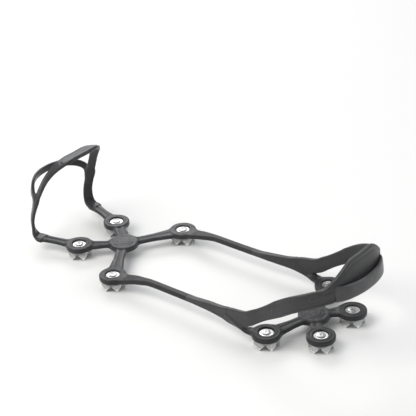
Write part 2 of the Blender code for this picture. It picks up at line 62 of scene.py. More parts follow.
# Driving sizes, mm in the design frame: mid shoe, z = 0 on the upper face of the web
WEB_UNDER = -4.2
WEB_MID = WEB_UNDER / 2
CROWN_TOP, CROWN_LOW = -4.5, -5.7      # faces of the crown's flat plate
FORE_HUB = (0.0, 72.0)
HEEL_HUB = (0.0, -102.0)
STRAP_WIDTH = 11.8                     # heel strap
BLEND = 1.6                            # softness where moulded parts meet


def centre(node):
    low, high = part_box(node)
    return (low + high) / 2


# The outer left crown of the forefoot fixes the design frame: it stands at y = 47
KEY_CROWN = "crown_plate_fore_outer_left"
SHIFT = np.array([0.0, centre(KEY_CROWN).y * 1000 - 47.0,
                  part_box(KEY_CROWN)[1].z * 1000 - CROWN_TOP])
STATIONS = {n[len("crown_plate_"):]: np.array(centre(n)[:]) * 1000 - SHIFT
            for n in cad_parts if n.startswith("crown_plate_")}


def to_scene(x, y, z):
    """Design millimetres to scene metres."""
    return tuple((np.array([x, y, z], float) + SHIFT) * MM)


# ------------------------------------------------------------ strap centre lines
# A strap is a list of rows: x, y, z, width, thickness, face direction x, y, z
WIDTH, THICK, FACE_X = 3, 4, 5
FACE = slice(5, 8)


def travelled(rows):
    return np.r_[0, np.cumsum(np.linalg.norm(np.diff(rows[:, :3], axis=0), axis=1))]


def respaced(rows, distance, count):
    at = np.linspace(0, distance[-1], count)
    return np.stack([np.interp(at, distance, rows[:, k]) for k in range(rows.shape[1])], 1)


def spline(rows, step):
    """Catmull-Rom through the rows, then evenly spaced at about the step."""
    rows = np.array(rows, float)
    last = len(rows) - 1
    fine = []
    for i in range(last):
        before, start = rows[max(i - 1, 0)], rows[i]
        end, after = rows[i + 1], rows[min(i + 2, last)]
        for s in range(24):
            t = s / 24
            fine.append(0.5 * (2 * start + (end - before) * t
                               + (2 * before - 5 * start + 4 * end - after) * t * t
                               + (3 * start - before - 3 * end + after) * t ** 3))
    fine.append(rows[-1])
    fine = np.array(fine)
    distance = travelled(fine)
    return respaced(fine, distance, max(4, int(round(distance[-1] / step)) + 1))


def stretch(rows, y_front, y_rear):
    """The part of a strap between two places along the shoe."""
    fine = spline(rows, 0.25)
    kept = fine[(fine[:, 1] <= y_front) & (fine[:, 1] >= y_rear)]
    distance = travelled(kept)
    return respaced(kept, distance, max(4, int(distance[-1] / 0.7)))


def directions(rows):
    """Unit tangent, face and side directions of every row."""
    tangent = np.gradient(rows[:, :3], axis=0)
    tangent /= np.linalg.norm(tangent, axis=1)[:, None]
    face = rows[:, FACE] - tangent * np.sum(rows[:, FACE] * tangent, 1)[:, None]
    face /= np.linalg.norm(face, axis=1)[:, None]
    return tangent, face, np.cross(tangent, face)


def mirrored(rows):
    return [[-r[0], *r[1:5], -r[FACE_X], *r[6:8]] for r in rows]


def both(rows):
    return [rows, mirrored(rows)]


def bridged(left, middle):
    """A strap from the left over the middle rows to its mirror image."""
    return left + middle + list(reversed(mirrored(left)))


# ------------------------------------------------------------ distance fields
# A solid is called with an (n, 3) array of points and gives distances, negative inside


def rounded(q, radius):
    return (np.linalg.norm(np.maximum(q, 0), axis=-1)
            + np.minimum(q.max(axis=-1), 0) - radius)


def bell(offset, size):
    return np.exp(-(offset / size) ** 2)


def soft_min(a, b, softness):
    share = np.clip(0.5 + 0.5 * (b - a) / softness, 0, 1)
    return b + (a - b) * share - softness * share * (1 - share)


def soft_max(a, b, softness):
    return -soft_min(-a, -b, softness)


class Band:
    """Swept strap; relief(across, out, along, length) raises or sinks its faces."""

    def __init__(self, rows, radius, relief=None):
        self.rows = spline(rows, 1.0)
        self.line = self.rows[:, :3]
        self.tangent, self.face, self.side = directions(self.rows)
        self.radius, self.relief = radius, relief
        pieces = np.linalg.norm(np.diff(self.line, axis=0), axis=1)
        self.step = float(pieces.mean())
        self.length = float(pieces.sum())

    def local(self, points):
        """Offsets across, out of the face and past the ends; width, thickness, distance."""
        nearest = np.empty(len(points), np.int64)
        line = self.line.astype(np.float32)
        square = (line ** 2).sum(1)
        chunk = 60000                   # bounds the memory used
        for k in range(0, len(points), chunk):
            some = points[k:k + chunk].astype(np.float32)
            nearest[k:k + chunk] = np.argmin(square[None] - 2 * some @ line.T, axis=1)
        past = np.sum((points - self.line[nearest]) * self.tangent[nearest], 1)
        last = len(line) - 1
        at = np.clip(nearest + past / self.step, 0, last)
        i = np.minimum(at.astype(int), last - 1)
        share = (at - i)[:, None]

        def between(values):
            return values[i] * (1 - share) + values[i + 1] * share
        row = between(self.rows)
        offset = points - row[:, :3]
        beyond = np.where((at <= 0) | (at >= last),
                          np.abs(np.sum(offset * between(self.tangent), 1)), 0.0)
        return (np.sum(offset * between(self.side), 1), np.sum(offset * between(self.face), 1),
                beyond, row[:, WIDTH], row[:, THICK], at * self.step)

    def __call__(self, points):
        across, out, beyond, width, thick, along = self.local(points)
        radius = np.minimum(self.radius, np.minimum(width, thick) * 0.45)
        half = thick / 2
        if self.relief is not None:
            half = half + self.relief(across, out, along, self.length)
        return rounded(np.stack([np.abs(across) - width / 2 + radius,
                                 np.abs(out) - half + radius,
                                 beyond - 0.5 + radius], -1), radius)


class Disc:
    """Upright round plate; rings are (radius, line size, depth) of engraved circles."""

    def __init__(self, x, y, low, high, radius, edge, rings=()):
        self.x, self.y, self.z = x, y, (low + high) / 2
        self.half = (high - low) / 2
        self.radius, self.edge, self.rings = radius, edge, rings

    def __call__(self, points):
        distance = np.hypot(points[:, 0] - self.x, points[:, 1] - self.y)
        half = self.half
        for radius, size, depth in self.rings:
            half = half - depth * bell(distance - radius, size)
        return rounded(np.stack([distance - self.radius + self.edge,
                                 np.abs(points[:, 2] - self.z) - half + self.edge], -1),
                       self.edge)


class Union:
    """Parts melted together, less the cuts."""

    def __init__(self, parts, softness, cuts=()):
        self.parts, self.softness, self.cuts = parts, softness, cuts

    def __call__(self, points):
        distance = self.parts[0](points)
        for part in self.parts[1:]:
            distance = soft_min(distance, part(points), self.softness)
        for cut in self.cuts:
            distance = soft_max(distance, -cut(points), 0.35)
        return distance


class Clip:
    """A solid kept only on the inner side of each plane (point, outward normal)."""

    def __init__(self, solid, *planes):
        self.solid = solid
        self.planes = [(np.array(p, float), np.array(n, float) / np.linalg.norm(n))
                       for p, n in planes]

    def __call__(self, points):
        distance = self.solid(points)
        for point, normal in self.planes:
            distance = np.maximum(distance, (points - point) @ normal)
        return distance


# ------------------------------------------------------------------ meshing


def editable(name, points, faces):
    """A new mesh from design points, and a bmesh copy to work on."""
    mesh = bpy.data.meshes.new(name)
    mesh.from_pydata(((points + SHIFT) * MM).tolist(), [], faces)
    bm = bmesh.new()
    bm.from_mesh(mesh)
    return mesh, bm


def place(mesh, bm, sharp_degrees=None):
    """Turn the surface outwards, store it and put it in the scene, smooth shaded."""
    if bm.calc_volume(signed=True) < 0:
        bmesh.ops.reverse_faces(bm, faces=bm.faces)
    bm.to_mesh(mesh)
    bm.free()
    obj = bpy.data.objects.new(mesh.name, mesh)
    bpy.context.scene.collection.objects.link(obj)
    mesh.shade_smooth()
    if sharp_degrees is not None:
        mesh.set_sharp_from_angle(angle=math.radians(sharp_degrees))
    return obj


def sample_field(solid, low, high):
    """Distances on the grid: exact near the surface, from a coarser grid elsewhere."""
    ratio = 4
    coarse_step = GRID * ratio
    counts = np.ceil((high - low) / coarse_step).astype(int) + 1
    axes = [low[k] + np.arange(counts[k]) * coarse_step for k in range(3)]
    points = np.stack(np.meshgrid(*axes, indexing="ij"), -1).reshape(-1, 3)
    coarse = solid(points).reshape(counts)
    fine = (counts - 1) * ratio + 1
    nearest = [np.minimum((np.arange(fine[k]) + ratio // 2) // ratio, counts[k] - 1)
               for k in range(3)]
    field = coarse[np.ix_(*nearest)]
    near = np.argwhere(np.abs(field) < coarse_step * 2.2)
    field[tuple(near.T)] = solid(low + near * GRID)
    return field


def surface_net(field, low):
    """One point per crossed cell, one quad per crossed grid edge."""
    counts = np.array(field.shape)
    total = np.zeros(tuple(counts - 1) + (3,))
    crossings = np.zeros(tuple(counts - 1))
    for axis in range(3):
        others = [k for k in range(3) if k != axis]
        for u in (0, 1):
            for v in (0, 1):
                start = np.zeros(3, int)
                start[others] = u, v
                end = start.copy()
                end[axis] = 1
                f0, f1 = (field[tuple(slice(c[k], c[k] + counts[k] - 1) for k in range(3))]
                          for c in (start, end))
                hit = (f0 < 0) != (f1 < 0)
                within = start.astype(float)[None].repeat(hit.sum(), 0)
                within[:, axis] += f0[hit] / (f0[hit] - f1[hit])
                total[hit] += np.argwhere(hit) + within
                crossings[hit] += 1
    cells = crossings > 0
    number = -np.ones(tuple(counts - 1), int)
    number[cells] = np.arange(cells.sum())
    points = low + total[cells] / crossings[cells][:, None] * GRID

    inside = field < 0
    quads = []
    for axis in range(3):
        second, third = [(1, 2), (2, 0), (0, 1)][axis]
        here = [slice(1, counts[k] - 1) for k in range(3)]
        there = list(here)
        here[axis] = slice(0, counts[axis] - 1)
        there[axis] = slice(1, counts[axis])
        starts_inside = inside[tuple(here)]
        crossed = starts_inside != inside[tuple(there)]
        first_cell = np.array([1, 1, 1])
        first_cell[axis] = 0
        cell = np.argwhere(crossed) + first_cell

        def corner(d2, d3):
            c = cell.copy()
            c[:, second] += d2
            c[:, third] += d3
            return number[tuple(c.T)]
        quad = np.stack([corner(-1, -1), corner(0, -1), corner(0, 0), corner(-1, 0)], 1)
        outward = ~starts_inside[crossed]
        quad[outward] = quad[outward][:, ::-1]
        quads.append(quad)
    faces = np.concatenate(quads)
    return points, faces[(faces >= 0).all(1)]


def gradient(solid, points, reach=0.05):
    slope = np.empty_like(points)
    for k in range(3):
        step = np.zeros(3)
        step[k] = reach
        slope[:, k] = (solid(points + step) - solid(points - step)) / (2 * reach)
    return slope


def relaxed(solid, points, faces):
    """Even out the points and draw them on to the true surface, three times."""
    edges = np.concatenate([faces[:, [k, (k + 1) % 4]] for k in range(4)])
    edges = np.unique(np.sort(edges, 1), axis=0)
    count = len(points)
    neighbours = np.bincount(edges.ravel(), minlength=count)
    for turn in range(3):
        total = np.zeros_like(points)
        for k in range(3):
            total[:, k] = (np.bincount(edges[:, 0], points[edges[:, 1], k], count)
                           + np.bincount(edges[:, 1], points[edges[:, 0], k], count))
        points = points * 0.4 + 0.6 * total / np.maximum(neighbours, 1)[:, None]
        slope = gradient(solid, points)
        step = solid(points) / np.maximum((slope ** 2).sum(1), 0.25)
        points = points - slope * np.clip(step, -GRID, GRID)[:, None]
    return points


def mould(name, solid, low, high):
    """Mesh a solid inside the box from low to high."""
    low, high = np.array(low, float), np.array(high, float)
    points, faces = surface_net(sample_field(solid, low, high), low)
    mesh, bm = editable(name, relaxed(solid, points, faces), faces.tolist())
    bmesh.ops.remove_doubles(bm, verts=bm.verts, dist=1e-6)
    bmesh.ops.dissolve_degenerate(bm, edges=bm.edges, dist=1e-7)
    return place(mesh, bm)


def strap_section(width, thick, radius):
    """Rounded rectangle, with extra points across the broad faces."""
    corner_steps, face_steps = 5, 6
    ring = []
    for cx, cy, first in ((width - radius, thick - radius, 0),
                          (-width + radius, thick - radius, 90),
                          (-width + radius, -thick + radius, 180),
                          (width - radius, -thick + radius, 270)):
        for k in range(corner_steps + 1):
            angle = math.radians(first + 90 * k / corner_steps)
            ring.append((cx + radius * math.cos(angle), cy + radius * math.sin(angle)))
        if first in (0, 180):
            for k in range(1, face_steps):
                ring.append((cx + (-cx - cx) * (k / face_steps),
                             thick if first == 0 else -thick))
    return ring


def sweep(name, rows, radius=0.9, crown=0.0, shrink=0.0):
    """Quad strap with flat end caps; crown drops the outer face towards its edges."""
    rows = spline(rows, 0.8)
    tangent, face, side = directions(rows)
    points = []
    for i, row in enumerate(rows):
        width, thick = row[WIDTH] / 2 - shrink, row[THICK] / 2 - shrink
        section = strap_section(width, thick, min(radius, width * 0.9, thick * 0.9))
        for across, out in section:
            if out > 0:
                out -= crown * min(1.0, (across / width) ** 2) * (out / thick)
            points.append(row[:3] + side[i] * across + face[i] * out)
    count = len(rows)
    m = len(section)
    faces = []
    for i in range(count - 1):
        for k in range(m):
            k2 = (k + 1) % m
            faces.append((i * m + k, i * m + k2, (i + 1) * m + k2, (i + 1) * m + k))
    faces.append(tuple(range(m))[::-1])
    faces.append(tuple((count - 1) * m + k for k in range(m)))
    mesh, bm = editable(name, np.array(points), faces)
    bmesh.ops.recalc_face_normals(bm, faces=bm.faces)
    return place(mesh, bm, sharp_degrees=60)


# ------------------------------------------------------------------ materials


class Nodes:
    """Fills a node tree. A socket given as an argument is linked, other values are set;
    an underscore stands for the space in an input's name."""

    def __init__(self, tree):
        self.tree = tree

    def set(self, node, **settings):
        for key, value in settings.items():
            socket = key.replace("_", " ")
            if isinstance(value, bpy.types.NodeSocket):
                self.tree.links.new(value, node.inputs[socket])
            elif socket in node.inputs:
                node.inputs[socket].default_value = value
            else:
                setattr(node, key, value)

    def add(self, kind, **settings):
        node = self.tree.nodes.new("ShaderNode" + kind)
        self.set(node, **settings)
        return node

    def noise(self, vector, **settings):
        return self.add("TexNoise", Vector=vector, **settings).outputs["Fac"]

    def ramp(self, fac, *stops):
        """Stops are (position, grey or colour)."""
        node = self.add("ValToRGB", Fac=fac)
        elements = node.color_ramp.elements
        while len(elements) < len(stops):
            elements.new(0.5)
        for element, (position, colour) in zip(elements, stops):
            element.position = position
            element.color = (*(colour if isinstance(colour, tuple) else (colour,) * 3), 1)
        return node.outputs["Color"]

    def math(self, operation, *values):
        node = self.add("Math", operation=operation)
        for k, value in enumerate(values):
            if isinstance(value, bpy.types.NodeSocket):
                self.tree.links.new(value, node.inputs[k])
            else:
                node.inputs[k].default_value = value
        return node.outputs[0]

    def tint(self, base, colour, factor):
        """The base covered with a plain colour by the factor."""
        return self.add("Mix", data_type="RGBA", Factor=factor, A=base,
                        B=(*colour, 1)).outputs["Result"]

    def remap(self, value, **limits):
        return self.add("MapRange", Value=value, **limits).outputs["Result"]

    def bump(self, height, **settings):
        return self.add("Bump", Height=height, **settings).outputs["Normal"]

    def object_space(self, location):
        coordinates = self.add("TexCoord").outputs["Object"]
        return self.add("Mapping", Vector=coordinates, Location=location).outputs["Vector"]


def new_material(name):
    mat = bpy.data.materials.new(name)
    mat.use_nodes = True
    return mat, Nodes(mat.node_tree), mat.node_tree.nodes["Principled BSDF"]


def scaled(colour, factor):
    return tuple(c * factor for c in colour)


def rubber(name, dark, mid, light, rough, dust, seed, specular=0.5, worn=0.45):
    """Moulded elastomer: mottled tone, fine pebbled grain, flow marks, scuffed
    lighter edges, dust that settles on faces looking up."""
    mat, nodes, shader = new_material(name)
    where = nodes.object_space((seed, seed * 0.7, -seed))
    cloud = nodes.noise(where, Scale=28.0, Detail=6.0, Roughness=0.62)
    grain = nodes.noise(where, Scale=1500.0, Detail=4.0, Roughness=0.6)
    pebble = nodes.add("TexVoronoi", Vector=where, Scale=1150.0).outputs["Distance"]
    flow = nodes.noise(where, Scale=70.0, Detail=3.0, Distortion=1.4)
    speck = nodes.noise(where, Scale=420.0, Detail=2.0)
    tone = nodes.ramp(cloud, (0.32, dark), (0.5, mid), (0.72, scaled(mid, 1.22)))
    # pale scuffs on exposed edges
    geometry = nodes.add("NewGeometry")
    edge = nodes.ramp(geometry.outputs["Pointiness"], (0.50, 0), (0.60, 1))
    scuff = nodes.ramp(flow, (0.42, 0), (0.66, 1))
    wear = nodes.math("MULTIPLY", nodes.math("MULTIPLY", edge, scuff), worn)
    tone = nodes.tint(tone, light, wear)
    # specks and a film of dust, thicker where the face looks up
    normal = nodes.add("SeparateXYZ", Vector=geometry.outputs["Normal"])
    settle = nodes.remap(normal.outputs["Z"], From_Min=0.25, From_Max=1.0)
    spots = nodes.ramp(speck, (0.55, 0.0), (0.78, 1.0))
    film = nodes.ramp(flow, (0.40, 0.12), (0.75, 0.6))
    cover = nodes.math("MULTIPLY", nodes.math("MAXIMUM", spots, film), settle)
    tone = nodes.tint(tone, light, nodes.math("MULTIPLY", cover, dust))
    # roughness follows the flow marks
    gloss = nodes.remap(flow, To_Min=rough - 0.09, To_Max=rough + 0.15)
    relief = nodes.bump(grain, Strength=0.30, Distance=0.00010)
    relief = nodes.bump(pebble, Strength=0.22, Distance=0.00012, Normal=relief)
    relief = nodes.bump(flow, Strength=0.35, Distance=0.0004, Normal=relief)
    nodes.set(shader, Base_Color=tone, Roughness=gloss, Normal=relief,
              Specular_IOR_Level=specular, Sheen_Weight=0.12, Sheen_Roughness=0.5)
    return mat


def steel(name, tint, rough, brushed, seed):
    """Stamped stainless: drawn lines, smudged gloss, bright worn edges, grime
    and a warm cast held in the recesses."""
    mat, nodes, shader = new_material(name)
    where = nodes.object_space((seed, -seed, seed))
    lines = nodes.add("Mapping", Vector=where,
                      Scale=(1.0, 26.0, 26.0) if brushed else (1, 1, 1))
    drawn = nodes.noise(lines.outputs["Vector"], Scale=150.0, Detail=5.0, Roughness=0.7)
    smudge = nodes.noise(where, Scale=160.0, Detail=4.0, Roughness=0.6)
    pits = nodes.noise(where, Scale=2400.0, Detail=3.0)
    tone = nodes.ramp(drawn, (0.3, scaled(tint, 0.72)), (0.55, tint),
                      (0.8, scaled(tint, 1.18)))
    pointiness = nodes.add("NewGeometry").outputs["Pointiness"]
    edge = nodes.ramp(pointiness, (0.51, 0), (0.58, 1))
    hollow = nodes.ramp(pointiness, (0.44, 1), (0.495, 0))
    tone = nodes.tint(tone, (0.82, 0.82, 0.80), edge)
    tone = nodes.tint(tone, (0.10, 0.085, 0.07), nodes.math("MULTIPLY", hollow, smudge))
    gloss = nodes.remap(smudge, To_Min=rough - 0.12, To_Max=rough + 0.16)
    relief = nodes.bump(drawn, Strength=0.25, Distance=0.00005)
    relief = nodes.bump(pits, Strength=0.2, Distance=0.00004, Normal=relief)
    nodes.set(shader, Base_Color=tone, Metallic=1.0, Roughness=gloss, Normal=relief)
    if brushed:
        nodes.set(shader, Anisotropic=0.45)
    return mat


def pale_floor():
    """Matt floor that can be seen through from below."""
    mat, nodes, shader = new_material("pale_floor")
    nodes.set(shader, Base_Color=(0.80, 0.80, 0.79, 1), Roughness=0.85)
    clear = nodes.add("BsdfTransparent")
    geometry = nodes.add("NewGeometry")
    either = nodes.add("MixShader")
    link = nodes.tree.links.new
    link(geometry.outputs["Backfacing"], either.inputs[0])
    link(shader.outputs[0], either.inputs[1])
    link(clear.outputs[0], either.inputs[2])
    link(either.outputs[0], nodes.tree.nodes["Material Output"].inputs["Surface"])
    return mat


RUBBER = rubber("harness_rubber_look", dark=(0.009, 0.009, 0.010),
                mid=(0.019, 0.019, 0.0205), light=(0.12, 0.12, 0.125),
                rough=0.44, dust=0.09, seed=0.0, specular=0.27, worn=0.1)
RUBBER_TOE = rubber("toe_rubber_look", dark=(0.012, 0.012, 0.0135),
                    mid=(0.025, 0.025, 0.0275), light=(0.14, 0.14, 0.145),
                    rough=0.33, dust=0.10, seed=0.13, specular=0.27)
RUBBER_HEEL = rubber("heel_rubber_look", dark=(0.010, 0.010, 0.011),
                     mid=(0.021, 0.021, 0.022), light=(0.15, 0.15, 0.15),
                     rough=0.46, dust=0.18, seed=0.31, worn=0.1)
# Paler rubber: the pull loop's own colour, and also a painted highlight on the grip pad of the
# toe band
RUBBER_LOOP_AND_PAD_HIGHLIGHT = rubber("loop_rubber_and_pad_highlight_look", dark=(0.034, 0.034, 0.036),
                     mid=(0.056, 0.056, 0.058), light=(0.26, 0.26, 0.265),
                     rough=0.36, dust=0.22, seed=0.47)
CROWN = steel("crown_steel_look", tint=(0.27, 0.27, 0.275), rough=0.34,
              brushed=True, seed=0.0)
RIVET = steel("rivet_steel_look", tint=(0.42, 0.42, 0.425), rough=0.30,
              brushed=False, seed=0.2)
WASHER = steel("washer_steel_look", tint=(0.24, 0.243, 0.246), rough=0.42,
               brushed=True, seed=0.4)


def finish(obj, material, slot, *nodes):
    """Give the object its material and hide the CAD nodes it replaces; the slot is not used."""
    obj.data.materials.append(material)
    if nodes:
        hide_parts(*nodes)


# ------------------------------------------------------------ parts of both webs
# Engraved circles: radius, line size, depth
PAD_RINGS = ((7.7, 0.45, 0.40), (9.0, 0.35, 0.25))
HUB_RINGS = ((3.0, 0.5, 0.35), (5.4, 0.5, 0.35), (7.8, 0.5, 0.35))


def stations_of(prefix):
    return [p for name, p in STATIONS.items() if name.startswith(prefix)]


def arm_groove(across, out, along, length):
    """One line down the middle, stopping short of the ends."""
    return (-0.45 * bell(across, 0.8)
            * np.clip((np.minimum(along, length - along) - 3) / 2, 0, 1))


def arm(start, end, width0, width1, z0=WEB_MID, z1=WEB_MID, thick=3.4):
    """Straight arm of the web, waisted at the middle."""
    return Band([[*start, z0, width0, thick, 0, 0, 1],
                 [(start[0] + end[0]) / 2, (start[1] + end[1]) / 2, (z0 + z1) / 2,
                  0.5 * (width0 + width1) * 0.72, thick, 0, 0, 1],
                 [*end, z1, width1, thick, 0, 0, 1]], 1.0, arm_groove)


def pads(stations, hub):
    """The hub disc and a pad over each crown."""
    return ([Disc(*hub, WEB_UNDER, 0.0, 11.0, 0.8, HUB_RINGS)]
            + [Disc(p[0], p[1], WEB_UNDER, 0.0, 10.0, 0.9, PAD_RINGS) for p in stations])


def bores(stations):
    """A washer seat and a through hole in each pad."""
    out = []
    for p in stations:
        out.append(Disc(p[0], p[1], -2.0, 4.0, 5.3, 0.05))
        out.append(Disc(p[0], p[1], -8.0, 4.0, 2.2, 0.05))
    return out


# ------------------------------------------------------- forefoot and toe cage
# Left strap rows: x, y, z, width, thickness, face direction x, y, z
ARCH_FRONT = [[-40, 46, -2.1, 14.0, 3.4, 0, 0, 1],
              [-40, 42, -2.1, 13.0, 3.6, 0, 0, 1],
              [-39.3, 34.5, -1.0, 10.5, 3.6, 0, 0, 1],
              [-38.6, 27.0, 1.0, 8.6, 3.6, 0, 0, 1],
              [-38.3, 19.0, 2.4, 6.4, 3.8, 0, 0, 1],
              [-38.0, 12.0, 3.3, 5.0, 4.0, 0, 0, 1],
              [-37.9, -4.0, 3.3, 4.8, 4.0, 0, 0, 1],
              [-38.0, -22.6, 3.3, 5.0, 4.0, 0, 0, 1]]
# faces look inward, so the band curls up from the web arm without twisting
RISER = [[-30.1, 126.5, -1.4, 9.4, 3.0, 0.0, 0.0, 1.0],
         [-30.3, 131.2, -1.0, 9.0, 3.0, 0.1, -0.25, 0.95],
         [-30.5, 134.4, 1.2, 8.6, 3.0, 0.45, -0.65, 0.6],
         [-30.7, 135.8, 5.6, 8.0, 2.9, 0.7, -0.62, 0.25],
         [-30.8, 135.6, 13.0, 7.4, 2.8, 0.75, -0.62, 0.0],
         [-30.6, 133.2, 21.5, 7.4, 2.8, 0.75, -0.58, -0.1],
         [-29.7, 130.2, 30.5, 8.6, 2.6, 0.75, -0.48, -0.35],
         [-29.3, 129.0, 34.5, 3.0, 1.4, 0.75, -0.48, -0.35]]
TOE_TOP = bridged([[-30.4, 133.4, 19.5, 3.0, 1.2, -0.76, 0.52, 0.2],
                   [-30.0, 131.2, 27.5, 6.4, 2.6, -0.76, 0.48, 0.3],
                   [-29.2, 128.0, 35.0, 6.8, 2.8, -0.74, 0.42, 0.45],
                   [-26.6, 121.6, 48.2, 7.0, 2.8, -0.68, 0.3, 0.68],
                   [-21.2, 115.0, 58.2, 9.6, 2.8, -0.5, 0.27, 0.83],
                   [-11.5, 111.0, 62.5, 14.0, 2.8, -0.24, 0.26, 0.94]],
                  [[0.0, 109.8, 63.2, 15.4, 2.8, 0.0, 0.25, 0.97]])
TOE_FRONT = bridged([[-30.5, 133.5, 21.0, 3.0, 1.2, -0.78, 0.55, 0.1],
                     [-30.0, 131.6, 29.5, 5.6, 2.6, -0.8, 0.55, 0.2],
                     [-27.2, 135.8, 35.4, 6.0, 2.8, -0.75, 0.62, 0.22],
                     [-20.5, 141.6, 38.4, 6.0, 2.8, -0.58, 0.78, 0.22],
                     [-11.0, 146.6, 39.3, 6.0, 2.8, -0.3, 0.93, 0.2]],
                    [[0.0, 148.2, 39.6, 6.0, 2.8, 0.0, 0.98, 0.2]])

PAD_HALF = 17.5                 # half length of the grip pad on the top band
PAD_SIDE = 1.7                  # the pad sits towards the band's rear edge
PAD_WIDE = 4.6                  # its half width


def pad_distance(across, along, length):
    far = np.maximum(np.abs(along - length / 2) - (PAD_HALF - PAD_WIDE), 0)
    return np.hypot(far, across - PAD_SIDE)


def toe_relief(across, out, along, length):
    """Raised grip pad ringed by a fine groove, and two lines on the band beyond it."""
    r = pad_distance(across, along, length)
    lift = 0.5 / (1 + np.exp((r - PAD_WIDE) / 0.16))
    ring = -0.4 * bell(r - PAD_WIDE - 0.7, 0.34)
    fade = np.clip((np.abs(along - length / 2) - PAD_HALF - 4) / 4, 0, 1)
    lines = -0.40 * bell(np.abs(across) - 1.9, 0.38) * fade
    return np.where(out > 0, lift + ring + lines, 0)


def riser_lines(across, out, along, length):
    """Two fine moulded lines set in from the riser's edges, on its outer face."""
    fade = np.clip((along - 8) / 6, 0, 1) * np.clip((length - 9 - along) / 5, 0, 1)
    return np.where(out < 0, -0.38 * fade * bell(np.abs(across) - 2.1, 0.38), 0)


def forefoot(top_band):
    stations = stations_of("fore")
    parts = pads(stations, FORE_HUB)
    for sx, _ in SIDES:
        parts += [arm(FORE_HUB, (sx * 34, 50), 10, 12),
                  arm(FORE_HUB, (sx * 18, 93), 10, 11),
                  arm((sx * 22, 101), (sx * 30.2, 130.5), 11, 9.0, z1=-1.2, thick=3.0)]
    parts += [Band(rows, 0.9) for rows in both(ARCH_FRONT)]
    parts += [Band(rows, 1.1, riser_lines) for rows in both(RISER)]
    parts += [top_band, Band(TOE_FRONT, 1.1)]
    rear_cut = ((0, 32.6, 0), (0, -1, 0))
    solid = Clip(Union(parts, BLEND, bores(stations)), rear_cut)
    obj = mould("forefoot_web_and_toe_cage", solid, (-52, 30, -6), (52, 152, 70))
    finish(obj, RUBBER_TOE, "harness_rubber", "forefoot_web", "toe_cage")
    return obj


def paint_grip_pad_highlight(obj, band):
    """Painted highlight: the upward face of the grip pad gets the paler loop rubber, standing
    in for the light that falls on the toe band's top.
    """
    obj.data.materials.append(RUBBER_LOOP_AND_PAD_HIGHLIGHT)
    middles = np.empty(len(obj.data.polygons) * 3)
    obj.data.polygons.foreach_get("center", middles)
    across, out, _, _, _, along = band.local(middles.reshape(-1, 3) * 1000 - SHIFT)
    # faces on the pad's upward face take the painted highlight
    pad_highlight_faces = ((pad_distance(across, along, band.length) < PAD_WIDE + 0.1)
              & (out > 1.2) & (np.abs(out) < 3))
    obj.data.polygons.foreach_set("material_index", pad_highlight_faces.astype(np.int32))


top_band = Band(TOE_TOP, 1.1, toe_relief)
harness_front = forefoot(top_band)
# paints a highlight on the grip pad's upward face
paint_grip_pad_highlight(harness_front, top_band)
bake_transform(harness_front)

# ------------------------------------------------------------- arch straps
# Left strap rows, as above; they run on into the heel strap
ARCH_REAR = [[-38.0, -22.0, 3.3, 4.0, 5.0, -1, 0, 0],
             [-38.05, -28.0, 3.35, 4.2, 4.9, -1, 0, 0],
             [-38.3, -35.0, 3.6, 5.4, 4.6, -1, 0, 0],
             [-38.6, -42.0, 3.9, 6.6, 4.2, -1, 0, 0],
             [-39.6, -53.0, 4.2, 8.6, 3.8, -1, 0, 0],
             [-40.8, -64.0, 4.9, 12.4, 3.6, -1, 0, 0.02],
             [-41.8, -76.0, 7.9, 11.2, 3.4, -1, 0, 0.04],
             [-42.2, -83.0, 12.2, 10.4, 3.1, -1, 0, 0.04],
             [-42.4, -89.0, 16.2, 9.9, 3.0, -1, 0, 0.05],
             [-42.5, -96.5, 21.2, 10.6, 3.0, -1, 0, 0.06]]


def arch_straps(side, front, rear):
    """Root, middle and fork; each overlaps the next by a little, slightly shrunk."""
    root = sweep(f"arch_strap_root_{side}", stretch(front, 34.6, 15.7), shrink=0.02)
    middle = sweep(f"arch_strap_middle_{side}", stretch(front, 16.3, -22.61), shrink=0.03)
    fork = sweep(f"arch_strap_fork_{side}", stretch(rear, -21.99, -59.4), shrink=0.02)
    finish(root, RUBBER, "harness_rubber", f"arch_strap_front_{side}")
    finish(middle, RUBBER, "harness_rubber", f"arch_strap_rear_{side}")
    finish(fork, RUBBER_HEEL, "harness_rubber")
    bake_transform(root)
    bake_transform(middle)
    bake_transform(fork)


for (_, side), front, rear in zip(SIDES, both(ARCH_FRONT), both(ARCH_REAR)):
    arch_straps(side, front, rear)

# --------------------------------------------------- heel strap and heel tab
# Places on the strap's arc go from u = -1 (left) over 0 (rear) to 1 (right)
ARC_STEPS = 200


def heel_path(u):
    angle = u * math.pi / 2
    return (42.3 * math.copysign(abs(math.sin(angle)) ** 0.82, u),
            -103.0 - 39.0 * abs(math.cos(angle)) ** 0.82)


ARC = [0.0]                     # distance from the rear of the arc
for i in range(ARC_STEPS):
    (xa, ya), (xb, yb) = heel_path(i / ARC_STEPS), heel_path((i + 1) / ARC_STEPS)
    ARC.append(ARC[-1] + math.hypot(xb - xa, yb - ya))


def heel_height(u):
    """Highest at the rear, falling towards the sides."""
    distance = ARC[min(ARC_STEPS, round(abs(u) * ARC_STEPS))]
    return 41.8 - 16.2 * (distance / ARC[-1]) ** 3


def heel_rows(reach, count, section, lift=0.0):
    """Strap rows from -reach to reach; section(u) gives width, thickness, offset outwards."""
    rows = []
    for i in range(count + 1):
        u = -reach + 2 * reach * i / count
        x, y = heel_path(u)
        x2, y2 = heel_path(min(u + 0.01, 1.0))
        x1, y1 = heel_path(max(u - 0.01, -1.0))
        nx, ny = (y2 - y1), -(x2 - x1)
        size = math.hypot(nx, ny)
        nx, ny = nx / size, ny / size
        width, thick, offset = section(u)
        rows.append([x + nx * offset, y + ny * offset, heel_height(u) + lift,
                     width, thick, nx, ny, 0.12])
    return rows


def heel_lines(across, out, along, length):
    """Two fine lines on the outer face, fading out towards the strap's ends."""
    fade = np.clip((np.minimum(along, length - along) - 56) / 14, 0, 1)
    return np.where(out > 0, -0.42 * fade * bell(np.abs(across) - 3.3, 0.42), 0)


